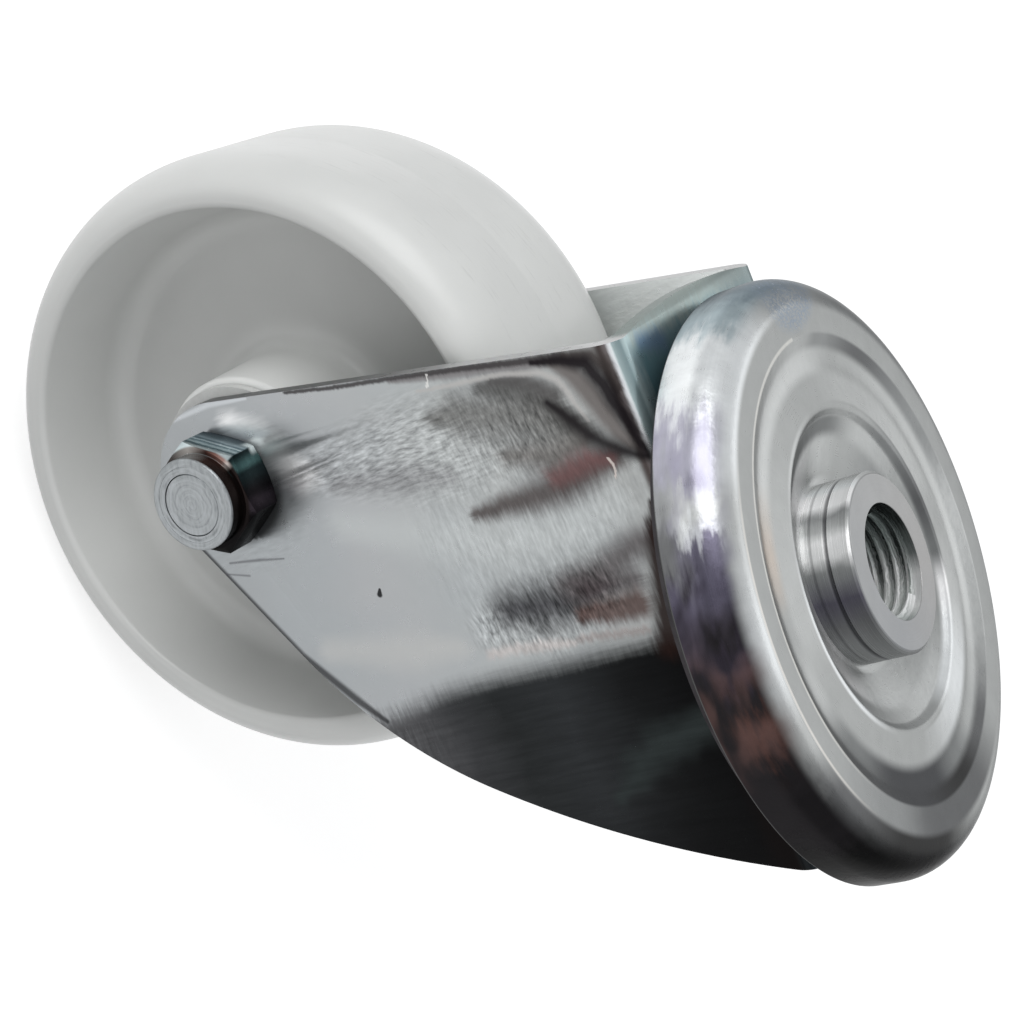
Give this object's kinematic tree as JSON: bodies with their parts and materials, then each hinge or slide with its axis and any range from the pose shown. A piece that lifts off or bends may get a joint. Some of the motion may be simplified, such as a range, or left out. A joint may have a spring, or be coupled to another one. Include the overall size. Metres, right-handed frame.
{
  "type": "swivel castor",
  "caption": "Swivel castor with a pressed steel fork, a white nylon wheel on a bolted axle and a dished swivel head round a threaded bush.",
  "frame": {"origin": "centre of the threaded hole's mouth, on the top face of the collar that stands out of the swivel head", "axes": "+Z along the swivel axis, out of the threaded hole; the axle lies along Y; the fork trails towards -X"},
  "size_m": [0.1122, 0.0724, 0.1108],
  "materials": {
    "zinc_sheet": "bright zinc plated",
    "bush_steel": "bright zinc plated, turned",
    "turned_steel": "turned",
    "ball_steel": "polished",
    "seal_plastic": "matte",
    "insert_plastic": "matte",
    "cage_plastic": "matte",
    "wheel_nylon": "satin, moulded in one piece"
  },
  "bodies": {
    "head": {"king_bush": "bush_steel", "top_cap": "zinc_sheet", "distance_collar": "turned_steel", "lower_race": "zinc_sheet", "rivet_washer": "turned_steel"},
    "fork": {"fork": "zinc_sheet", "crown_race": "zinc_sheet", "upper_balls": "ball_steel", "lower_balls": "ball_steel", "dust_seal": "seal_plastic", "axle_sleeve": "turned_steel", "axle_bolt": "bush_steel", "bolt_washer": "bush_steel", "nut_body": "bush_steel", "nut_insert": "insert_plastic", "thrust_washer_near": "cage_plastic", "thrust_washer_far": "cage_plastic"},
    "wheel": {"wheel": "wheel_nylon", "roller_cage": "cage_plastic", "rollers": "ball_steel"}
  },
  "joints": [
    {"name": "swivel", "type": "hinge", "parent": "head", "child": "fork", "pos_m": [0, 0, 0], "axis": [0, 0, 1], "continuous": true},
    {"name": "wheel_spin", "type": "hinge", "parent": "fork", "child": "wheel", "pos_m": [-0.036, 0, -0.0708], "axis": [0, 1, 0], "continuous": true}
  ]
}
